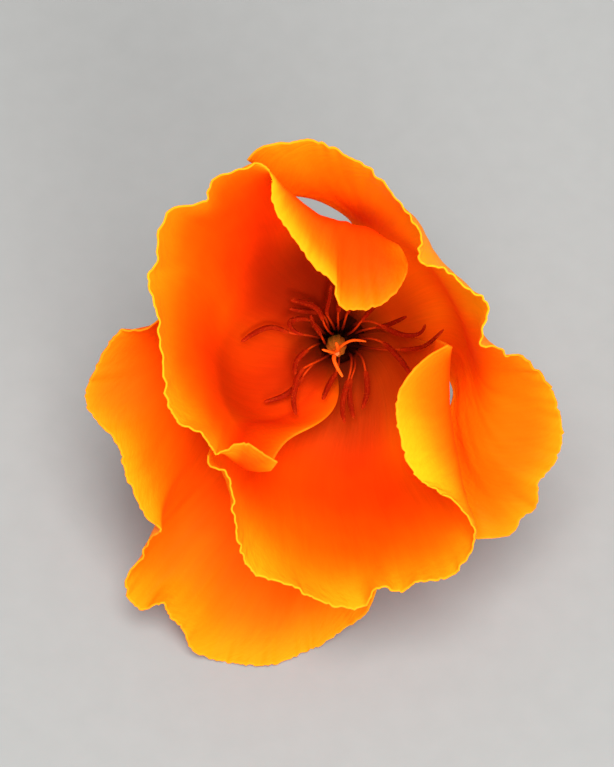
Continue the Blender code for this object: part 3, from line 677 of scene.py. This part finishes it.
def strewn(tree, surface, grain_radius, per_area, seed, tint):
    """Small grains scattered over a surface."""
    spots = add(tree, "GeometryNodeDistributePointsOnFaces", {"Mesh": surface, "Density": per_area,
                                                              "Seed": seed})
    grain = add(tree, "GeometryNodeMeshIcoSphere", {"Radius": grain_radius, "Subdivisions": 1})
    placed = add(tree, "GeometryNodeInstanceOnPoints", {"Points": spots, "Instance": grain,
                                                        "Rotation": spots.outputs["Rotation"]})
    real = add(tree, "GeometryNodeRealizeInstances", {"Geometry": placed})
    return add(tree, "GeometryNodeSetMaterial", {"Geometry": real, "Material": tint})


def finish_tree(tree, *parts):
    """Joins a tree's parts and ends it in Realize Instances."""
    joined = add(tree, "GeometryNodeJoinGeometry")
    for part in parts:
        tree.links.new(part.outputs[0], joined.inputs[0])
    real = add(tree, "GeometryNodeRealizeInstances", {"Geometry": joined})
    add(tree, "NodeGroupOutput", {"Geometry": real})


def grow(name, tree, routes, inputs, radii=None):
    """Runs a tree on curves through routes of world points, and keeps the mesh."""
    curve = bpy.data.curves.new(name, 'CURVE')
    curve.dimensions = '3D'
    for number, route in enumerate(routes):
        spline = curve.splines.new('POLY')
        spline.points.add(len(route) - 1)
        for i, place in enumerate(route):
            spline.points[i].co = (*place, 1.0)
            spline.points[i].radius = 1.0 if radii is None else radii[number][i]
    guide = place_in_scene(name + "_guide", curve)
    modifier = guide.modifiers.new(tree.name, 'NODES')
    modifier.node_group = tree
    for item in tree.interface.items_tree:
        if item.in_out == 'INPUT' and item.name in inputs:
            modifier[item.identifier] = inputs[item.name]
    piece = plain_copy(guide, name)
    closed = bmesh.new()
    closed.from_mesh(piece.data)
    bmesh.ops.remove_doubles(closed, verts=closed.verts, dist=1e-7)
    bmesh.ops.recalc_face_normals(closed, faces=closed.faces)
    closed.to_mesh(piece.data)
    closed.free()
    return piece


print("geometry helpers ready")

# %% [markdown]
# ## What stamens are made of
# A filament is a smooth, moist thread, nearly black-red where it leaves the
# receptacle and orange higher up. An anther is a dry, finely grained pod,
# matt and dark red-brown. Pollen is a waxy orange dust. Its grains are
# 0.03 mm across; here they are drawn at 0.08 mm so that they can be seen.

# %% Materials of filament, anther and pollen
def plant_skin(name, stops, roughness, grain_mm, relief_mm, specular):
    """A plant surface coloured along its length, with a finely grained relief."""
    material, tree = new_material(name)
    along = add(tree, "ShaderNodeAttribute", attribute_name="along").outputs["Fac"]
    place = add(tree, "ShaderNodeTexCoord").outputs["Object"]
    base = add(tree, "ShaderNodeValToRGB", (along,), stops=stops)
    grain = add(tree, "ShaderNodeTexNoise", {"Vector": place, "Scale": 1000 / grain_mm, "Detail": 3.0,
                                             "Roughness": 0.6})
    light = add(tree, "ShaderNodeMapRange", (grain, 0.3, 0.7, 0.75, 1.2))
    colour = add(tree, "ShaderNodeVectorMath", {0: base, "Scale": light}, operation='SCALE')
    relief = add(tree, "ShaderNodeBump", {"Height": grain, "Strength": 0.6, "Distance": relief_mm * MM})
    surface = add(tree, "ShaderNodeBsdfPrincipled",
                  {"Base Color": colour, "Normal": relief, "Roughness": roughness, "IOR": 1.4,
                   "Specular IOR Level": specular})
    add(tree, "ShaderNodeOutputMaterial", {"Surface": surface})
    return material


# Moist plant skin: a soft gloss on a colour that runs from blackish red to orange.
FILAMENT = plant_skin("filament_skin", ((0.0, "#1C0402"), (0.25, "#260502"), (0.5, "#8A1E04"),
                                        (0.75, "#C63A06"), (1.0, "#C03606")), 0.4, 0.25, 0.02, 0.12)
# Dry, papery pod wall: matt, dark red-brown, with a grain of cell clusters.
ANTHER = plant_skin("anther_pod", ((0.0, "#A82804"), (0.2, "#8A1802"), (0.8, "#801402"),
                                   (1.0, "#9A2004")), 0.7, 0.12, 0.03, 0.03)
# Waxy pollen: a warm orange dust.
POLLEN = plant_skin("pollen_dust", ((0.0, "#B03A08"), (1.0, "#C0480A")), 0.7, 0.08, 0.01, 0.1)
print("stamen materials:", FILAMENT.name, ANTHER.name, POLLEN.name)

# %% The stamen tree
ANTHER_FROM = 0.5               # the share of a stamen's length where its anther begins
THREAD_OVERLAP = 0.05           # how much further its filament runs, inside the anther
stamen_tree, given = new_tree("poppy stamen", {
    "Filament Radius": "Float", "Anther Radius": "Float", "Anther From": "Float",
    "Grain Radius": "Float", "Grains Per Area": "Float", "Seed": "Int",
    "Filament": "Material", "Anther": "Material", "Pollen": "Material"})
even = add(stamen_tree, "GeometryNodeResampleCurve", {"Curve": given["Geometry"], "Count": 64})
overlap = add(stamen_tree, "ShaderNodeMath", (given["Anther From"], THREAD_OVERLAP), operation='ADD')
thread = add(stamen_tree, "GeometryNodeTrimCurve", {"Curve": even, "End": overlap})
pod = add(stamen_tree, "GeometryNodeTrimCurve", {"Curve": even, "Start": given["Anther From"]})
taper = along_curve(stamen_tree, ((0.0, 1.0), (0.18, 0.8), (0.4, 0.5), (0.9, 0.4), (1.0, 0.36)))
swell = along_curve(stamen_tree, ((0.0, 0.4), (0.06, 0.85), (0.3, 1.0), (0.8, 0.85), (0.96, 0.6),
                                  (1.0, 0.22)))
thread_radius = add(stamen_tree, "ShaderNodeMath", (given["Filament Radius"], taper), operation='MULTIPLY')
pod_radius = add(stamen_tree, "ShaderNodeMath", (given["Anther Radius"], swell), operation='MULTIPLY')
filament = swept(stamen_tree, thread, lobed_section(stamen_tree, 3.0, 0.04, 1.0, 10), thread_radius,
                 given["Filament"])
anther = swept(stamen_tree, pod, lobed_section(stamen_tree, 4.0, 0.2, 0.78, 20), pod_radius, given["Anther"])
dust = strewn(stamen_tree, anther, given["Grain Radius"], given["Grains Per Area"], given["Seed"],
              given["Pollen"])
finish_tree(stamen_tree, filament, anther, dust)
print("stamen tree nodes:", len(stamen_tree.nodes))

# %% [markdown]
# ## Twenty stamens
# Each route runs from the root on the receptacle, by way of the filament's
# bends, to the tip of the anther. They lean outwards onto the petals, as they
# do once a bloom has been open for a day. Grains are counted per square metre.

# %% Make the stamens
STAMENS = (
    [(-1.3, 0.5, 0.6), (-1.6, 0.7, 1.8), (-3.6, 1.6, 4.0), (-5.5, 2.1, 4.8), (-7.2, 2.9, 5.6),
     (-11.0, 1.7, 7.6)],
    [(-1.0, -0.9, 0.6), (-1.3, -1.1, 1.8), (-3.2, -2.4, 4.1), (-5.5, -4.8, 5.9), (-8.4, -5.6, 7.2)],
    [(-0.3, -1.0, 0.6), (-0.8, -1.2, 2.2), (-2.6, -1.7, 4.2), (-4.2, -2.4, 5.6), (-4.8, -3.8, 6.8),
     (-5.0, -5.2, 7.6), (-4.7, -6.7, 8.8)],
    [(-1.6, -0.2, 0.6), (-3.4, -0.2, 4.0), (-4.7, -1.4, 5.2), (-4.8, -2.6, 6.2)],
    [(0.8, -1.4, 0.6), (1.7, -1.3, 2.6), (1.6, -2.9, 4.2), (1.0, -4.6, 5.8), (0.7, -6.4, 6.9),
     (0.9, -7.8, 8.2)],
    [(1.0, -1.0, 0.5), (2.2, -2.2, 2.2), (1.6, -4.1, 4.1), (1.6, -6.0, 5.2), (2.0, -7.8, 6.4)],
    [(1.4, -0.8, 0.5), (2.9, -1.4, 2.4), (3.4, -2.8, 4.0), (3.6, -4.8, 5.2), (3.0, -6.7, 6.2)],
    [(1.6, 0.0, 0.5), (4.5, 0.9, 3.4), (5.7, 0.6, 4.6), (6.7, -0.1, 5.8), (8.0, -1.5, 6.8),
     (8.5, -2.2, 7.6)],
    [(1.1, -0.4, 0.5), (4.4, -0.3, 3.0), (7.6, 0.3, 5.8), (9.6, 1.0, 7.6), (11.0, 2.4, 9.6),
     (12.2, 3.9, 10.6)],
    [(1.1, 1.1, 0.5), (2.4, 2.6, 2.4), (3.8, 3.2, 3.8), (6.3, 2.5, 5.4), (8.4, 2.2, 6.6),
     (9.8, 2.7, 7.0), (10.2, 3.7, 7.4)],
    [(1.5, 0.6, 0.5), (3.6, 1.9, 2.4), (5.6, 2.6, 3.6), (6.6, 3.1, 4.2), (8.1, 4.1, 5.2)],
    [(-0.6, 1.2, 0.6), (-0.8, 1.6, 1.8), (-1.7, 4.0, 3.7), (-3.4, 4.6, 4.7), (-5.4, 5.2, 5.9)],
    [(-0.3, 0.9, 0.6), (-0.4, 1.2, 2.2), (-1.4, 3.0, 4.6), (-2.2, 5.0, 5.4), (-3.7, 5.9, 6.0),
     (-5.3, 6.5, 7.0)],
    [(-1.0, 0.9, 0.6), (-1.3, 1.2, 1.8), (-2.7, 3.1, 4.0), (-4.3, 3.9, 5.4), (-5.4, 3.6, 6.2),
     (-5.0, 2.9, 6.9), (-3.8, 2.4, 7.2)],
    [(-0.1, 1.4, 0.6), (-0.2, 1.7, 1.8), (-0.6, 3.0, 3.5), (-1.1, 4.3, 4.6), (-0.8, 6.6, 5.8),
     (-0.7, 8.2, 6.8)],
    [(0.2, 1.1, 0.5), (0.2, 2.6, 3.2), (0.2, 4.4, 4.6), (0.5, 6.6, 6.0), (0.9, 9.2, 7.6)],
    [(0.5, 1.3, 0.5), (0.7, 1.8, 1.8), (1.1, 3.6, 3.5), (1.8, 5.6, 4.9), (2.9, 7.8, 6.7)],
    [(0.9, 0.7, 0.5), (2.0, 2.0, 3.4), (3.1, 3.8, 5.0), (4.6, 5.8, 6.2), (6.2, 7.4, 7.6)],
    [(-1.0, -0.4, 0.6), (-1.3, 0.2, 2.6), (-1.9, 1.9, 4.8), (-2.6, 3.4, 6.4), (-3.0, 4.9, 8.0)],
    [(0.2, -1.0, 0.6), (0.3, -1.5, 2.2), (0.1, -2.6, 3.8), (-0.8, -3.9, 5.4), (-1.6, -5.4, 7.0)],
)
STAMEN_SIZES = {"Filament Radius": 0.3 * MM, "Anther Radius": 0.28 * MM, "Anther From": ANTHER_FROM,
                "Grain Radius": 0.04 * MM, "Grains Per Area": 8.0e6,
                "Filament": FILAMENT, "Anther": ANTHER, "Pollen": POLLEN}
for number, points in enumerate(STAMENS, 1):
    route = to_world(smooth_route(points, 60))
    stamen = grow("poppy_stamen_%02d" % number, stamen_tree, [route], {**STAMEN_SIZES, "Seed": number})
    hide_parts("stamen_%02d" % number)
    pieces.append(stamen)
print(len(STAMENS), "stamens,", len(stamen.data.polygons), "faces in the last")

# %% [markdown]
# ## Pistil
# The ovary is a slender cone with ten fine ribs, olive to orange, and ends in
# four thread-like stigma lobes covered with tiny knobs that hold pollen. A
# turned profile would make it smooth, so a second tree sweeps a ribbed
# section along a rod whose radius comes from the curve's own points. The same
# tree later makes the ridged stem.

# %% Ribbed rod tree, ovary and stigma
rod_tree, given = new_tree("ribbed rod", {"Ribs": "Float", "Rib Depth": "Float", "Section Points": "Int",
                                          "Skin": "Material"})
rod_radius = add(rod_tree, "GeometryNodeInputRadius")
rod_scale = add(rod_tree, "ShaderNodeMath", (rod_radius, MM), operation='MULTIPLY')
rod_section = lobed_section(rod_tree, given["Ribs"], given["Rib Depth"], 1.0, given["Section Points"])
finish_tree(rod_tree, swept(rod_tree, given["Geometry"], rod_section, rod_scale, given["Skin"]))

lobe_tree, given = new_tree("stigma lobe", {"Radius": "Float", "Knob Radius": "Float",
                                            "Knobs Per Area": "Float", "Seed": "Int", "Skin": "Material"})
taper = along_curve(lobe_tree, ((0.0, 1.0), (0.5, 0.8), (0.9, 0.6), (1.0, 0.35)))
lobe_radius = add(lobe_tree, "ShaderNodeMath", (given["Radius"], taper), operation='MULTIPLY')
lobe = swept(lobe_tree, given["Geometry"], lobed_section(lobe_tree, 2.0, 0.08, 0.85, 12), lobe_radius,
             given["Skin"])
knobs = strewn(lobe_tree, lobe, given["Knob Radius"], given["Knobs Per Area"], given["Seed"], given["Skin"])
finish_tree(lobe_tree, lobe, knobs)

# Waxy skin: an olive-brown ovary, flushed orange towards its tip.
OVARY = plant_skin("ovary_skin", ((0.0, "#7A5A16"), (0.4, "#9A6C1E"), (0.8, "#B87A22"), (1.0, "#CC6A14")),
                   0.45, 0.3, 0.02, 0.3)
# Moist, knobbly stigma: bright orange, darker at its root.
STIGMA = plant_skin("stigma_skin", ((0.0, "#A84A0C"), (0.35, "#E25A0A"), (1.0, "#F06410")),
                    0.5, 0.15, 0.02, 0.1)

OVARY_PROFILE = ((0.7, 0.4), (1.0, 1.4), (1.12, 2.8), (1.0, 4.2), (0.6, 5.5), (0.34, 6.3))
STIGMAS = (
    [(0.0, 0.0, 5.6), (-0.3, -0.6, 6.6), (0.1, -1.6, 7.0), (0.7, -2.6, 7.2)],
    [(0.0, 0.0, 5.6), (-0.5, 0.2, 6.6), (-1.1, 0.5, 7.2), (-1.7, 0.7, 7.3)],
    [(0.0, 0.0, 5.6), (0.5, 1.0, 7.0), (1.8, 1.9, 7.8), (3.4, 1.8, 7.9)],
    [(0.0, 0.0, 5.6), (0.1, 0.5, 6.8), (0.1, 1.1, 7.6), (-0.1, 1.7, 8.0)],
)
heights = np.linspace(0.4, 6.3, 60)
profile_radii, profile_heights = np.array(OVARY_PROFILE).T
ovary_radii = smooth_through(profile_heights, profile_radii[:, None], heights)[:, 0]
axis = np.stack([heights * 0, heights * 0, heights], axis=1)
ovary = grow("poppy_ovary", rod_tree, [to_world(axis)],
             {"Ribs": 10.0, "Rib Depth": 0.07, "Section Points": 60, "Skin": OVARY}, [ovary_radii])
stigma = grow("poppy_stigma", lobe_tree, [to_world(smooth_route(points, 40)) for points in STIGMAS],
              {"Radius": 0.26 * MM, "Knob Radius": 0.035 * MM, "Knobs Per Area": 2.5e7, "Seed": 5,
               "Skin": STIGMA})
for piece in (ovary, stigma):
    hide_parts("pistil")
    pieces.append(piece)
print("ovary widest, mm:", round(2 * float(ovary_radii.max()), 2))

# %% [markdown]
# ## Receptacle and stem
# Under the petals the stem widens into a funnel with a thin spreading rim,
# flushed pink. Below it the stem is smooth and bluish green, with faint
# ridges and a waxy bloom, and it was cut straight across, so its end shows
# paler pith. It bends down behind the bloom and lies on the surface.

# %% Stem materials
def stem_skin(name, foot_tint, neck_tint, rim_tint):
    """Waxy stem skin: green with a pale powdery bloom, and flushed at the rim."""
    material, tree = new_material(name)
    along = add(tree, "ShaderNodeAttribute", attribute_name="along").outputs["Fac"]
    place = add(tree, "ShaderNodeTexCoord").outputs["Object"]
    base = add(tree, "ShaderNodeValToRGB", (along,),
               stops=((0.0, "#2A0C04"), (0.012, "#340D04"), (0.017, "#5A1604"), (0.022, rim_tint),
                      (0.032, rim_tint), (0.09, neck_tint), (0.45, foot_tint), (1.0, foot_tint)))
    blotch = add(tree, "ShaderNodeTexNoise", {"Vector": place, "Scale": 1000 / 2.5, "Detail": 4.0,
                                              "Roughness": 0.6})
    grain = add(tree, "ShaderNodeTexNoise", {"Vector": place, "Scale": 1000 / 0.2, "Detail": 2.0})
    # The dark floor of the cup, where the stem's line begins, is neither powdery nor shiny.
    outside = add(tree, "ShaderNodeMapRange", (along, 0.02, 0.08))
    blotches = add(tree, "ShaderNodeMapRange", (blotch, 0.4, 0.7, 0.0, 0.45))
    powder = add(tree, "ShaderNodeMath", (blotches, outside), operation='MULTIPLY')
    waxy = add(tree, "ShaderNodeMix", {"Factor": powder, 6: base, 7: linear("#A9BC94")},
               data_type='RGBA').outputs[2]
    light = add(tree, "ShaderNodeMapRange", (grain, 0.3, 0.7, 0.86, 1.1))
    colour = add(tree, "ShaderNodeVectorMath", {0: waxy, "Scale": light}, operation='SCALE')
    relief = add(tree, "ShaderNodeBump", {"Height": grain, "Strength": 0.4, "Distance": 0.03 * MM})
    gloss = add(tree, "ShaderNodeMath", (outside, 0.35), operation='MULTIPLY')
    surface = add(tree, "ShaderNodeBsdfPrincipled",
                  {"Base Color": colour, "Normal": relief, "Roughness": 0.5, "IOR": 1.42,
                   "Specular IOR Level": gloss, "Subsurface Weight": 0.15, "Subsurface Scale": 0.5 * MM,
                   "Subsurface Radius": (0.6, 1.0, 0.3)})
    add(tree, "ShaderNodeOutputMaterial", {"Surface": surface})
    return material


STEM_SKIN = stem_skin("waxy_stem_skin", "#6E8B4E", "#86A05A", "#C98A68")
# Wet pith: pale green, soft and slightly shiny where the stem was cut.
PITH = plant_skin("cut_stem_pith", ((0.0, "#B9C98C"), (1.0, "#C6D49C")), 0.35, 0.2, 0.04, 0.5)
print("stem materials:", STEM_SKIN.name, PITH.name)

# %% Make the receptacle and stem
STEM_RADIUS = 1.2               # mm
# The receptacle as (radius, height): the cup's domed floor, its rim, then the funnel down.
FUNNEL = ((0.5, 0.3), (1.4, 0.2), (2.4, 0.05), (3.6, -0.1), (4.4, -0.3), (4.5, -0.5), (4.3, -0.65),
          (3.6, -0.8), (3.2, -1.3), (2.7, -2.7), (2.1, -4.2), (1.6, -5.5), (1.2, -6.4))
# The stem's route, with +Y behind the bloom and +Z straight up.
STEM = ((0.0, 3.9, -4.1), (0.1, 6.4, -6.7), (0.6, 9.6, -9.6), (1.8, 13.0, -11.2), (4.4, 17.2, -11.6),
        (8.0, 21.2, -11.6))
STEM_REST = -11.2               # its axis where it lies on the surface

funnel_radii, funnel_heights = np.array(FUNNEL).T
steps = np.linspace(0, len(FUNNEL) - 1, 73)
funnel_axis = np.interp(steps, range(len(FUNNEL)), funnel_heights)
rod_radii = np.interp(steps, range(len(FUNNEL)), funnel_radii)
funnel_route = to_world(np.stack([funnel_axis * 0, funnel_axis * 0, funnel_axis], axis=1))
stem_route = smooth_route(STEM, 90)
stem_route[:, 2] = np.maximum(stem_route[:, 2], STEM_REST)
stem_route = (stem_route + BLOOM_AT) * MM
# The stem takes over where its route has left the funnel's foot.
foot = to_world((0.0, 0.0, FUNNEL[-1][1]))
gone = np.linalg.norm(stem_route - stem_route[0], axis=1)
after = gone > np.linalg.norm(foot - stem_route[0]) + 0.4 * MM
whole_route = np.concatenate([funnel_route, stem_route[after]])
whole_radii = np.concatenate([rod_radii, np.full(after.sum(), STEM_RADIUS)])
stem = grow("poppy_stem", rod_tree, [whole_route],
            {"Ribs": 9.0, "Rib Depth": 0.035, "Section Points": 72, "Skin": STEM_SKIN}, [whole_radii])


SKIN_RIM, PITH_SLOPE, PITH_DEPTH = 0.22, 0.12, 0.15     # mm, across the cut end of the stem


def show_pith(piece, end, pith):
    """Sinks the flat cut face nearest to a point inside a rim of skin, and gives it the pith."""
    piece.data.materials.append(pith)
    mesh = bmesh.new()
    mesh.from_mesh(piece.data)
    caps = [face for face in mesh.faces if len(face.verts) > 8]
    cap = min(caps, key=lambda face: (face.calc_center_median() - end).length)
    ring = bmesh.ops.inset_region(mesh, faces=[cap], thickness=SKIN_RIM * MM, depth=0.0)
    core = bmesh.ops.inset_region(mesh, faces=[cap], thickness=PITH_SLOPE * MM, depth=-PITH_DEPTH * MM)
    for face in [cap, *ring["faces"], *core["faces"]]:
        face.material_index = len(piece.data.materials) - 1
        face.smooth = False
    mesh.to_mesh(piece.data)
    mesh.free()


show_pith(stem, Vector(whole_route[-1]), PITH)
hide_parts("stem_and_receptacle")
pieces.append(stem)
print("stem points:", len(whole_route), "faces:", len(stem.data.polygons))

# %% [markdown]
# ## One body
# A picked flower has no joints: petals, stamens, pistil and stem all move as
# one, so every piece rides on the model's only body.

# %% Every piece rides on the flower's one body
for piece in pieces:
    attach(piece, "root")
print(len(pieces), "pieces ride on one body")

# %% [markdown]
# ## Floor, light and camera
# A matt pale floor and two large soft lamps, one overhead and one in front,
# show the bloom plainly and leave its own colours alone. The camera looks down
# into the cup along a line 61 degrees above the floor.

# %% Floor
def studio_paper():
    """Matt paper: pale, with a barely visible mottle."""
    material, tree = new_material("studio_paper")
    place = add(tree, "ShaderNodeTexCoord").outputs["Object"]
    fibre = add(tree, "ShaderNodeTexNoise", {"Vector": place, "Scale": 300.0, "Detail": 3.0})
    colour = add(tree, "ShaderNodeValToRGB", (fibre,), stops=((0.3, "#868684"), (0.7, "#888886")))
    surface = add(tree, "ShaderNodeBsdfPrincipled", {"Base Color": colour, "Roughness": 0.9})
    add(tree, "ShaderNodeOutputMaterial", {"Surface": surface})
    return material


FLOOR_SIZE = 3.0                # m
floor_mesh = bpy.data.meshes.new("floor")
half = FLOOR_SIZE / 2
floor_mesh.from_pydata([(-half, -half, 0), (half, -half, 0), (half, half, 0), (-half, half, 0)], [],
                       [(0, 1, 2, 3)])
floor_mesh.materials.append(studio_paper())
floor = place_in_scene("floor", floor_mesh)
floor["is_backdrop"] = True
print("floor, m:", FLOOR_SIZE)

# %% Lights and world
def soft_lamp(name, place, target, size, power, tint):
    """A round area lamp that faces a point, with places in metres and power in watts."""
    lamp = bpy.data.lights.new(name, 'AREA')
    lamp.shape = 'DISK'
    lamp.size = size
    lamp.energy = power
    lamp.color = linear(tint)[:3]
    holder = place_in_scene(name, lamp)
    holder.location = place
    holder.rotation_euler = (Vector(target) - Vector(place)).to_track_quat('-Z', 'Y').to_euler()


BLOOM_CENTRE = (-0.0018, -0.0066, 0.0268)   # m
soft_lamp("key", (0.02, -0.18, 0.78), BLOOM_CENTRE, 0.5, 8.2, "#FFFFFF")
soft_lamp("front_fill", (0.22, -0.70, 0.42), BLOOM_CENTRE, 0.5, 6.5, "#FFFFFF")
world = bpy.data.worlds.new("studio")
bpy.context.scene.world = world
world.use_nodes = True
world.node_tree.nodes["Background"].inputs["Color"].default_value = linear("#F4F6F8")
world.node_tree.nodes["Background"].inputs["Strength"].default_value = 0.82
bpy.context.scene.view_settings.view_transform = 'Standard'

# %% Camera
CAMERA_DISTANCE = 0.42          # m
CAMERA_TILT = math.radians(29.0)
camera = place_in_scene("camera", bpy.data.cameras.new("camera"))
camera.data.lens = 175.4
camera.data.clip_start = 0.01
camera.rotation_euler = (CAMERA_TILT, 0.0, 0.0)
camera.location = Vector(BLOOM_CENTRE) + CAMERA_DISTANCE * Vector((0, -math.sin(CAMERA_TILT),
                                                                   math.cos(CAMERA_TILT)))
bpy.context.scene.camera = camera
print("camera at, mm:", [round(c / MM, 1) for c in camera.location])

# %% Compare the sizes and finish
boxes = {"cad": [list(corner) for corner in CAD_BOX], "visual": [list(corner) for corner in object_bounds()]}
for label, box in boxes.items():
    print(label, "size, mm:", [round((high - low) / MM, 1) for low, high in zip(*box)])
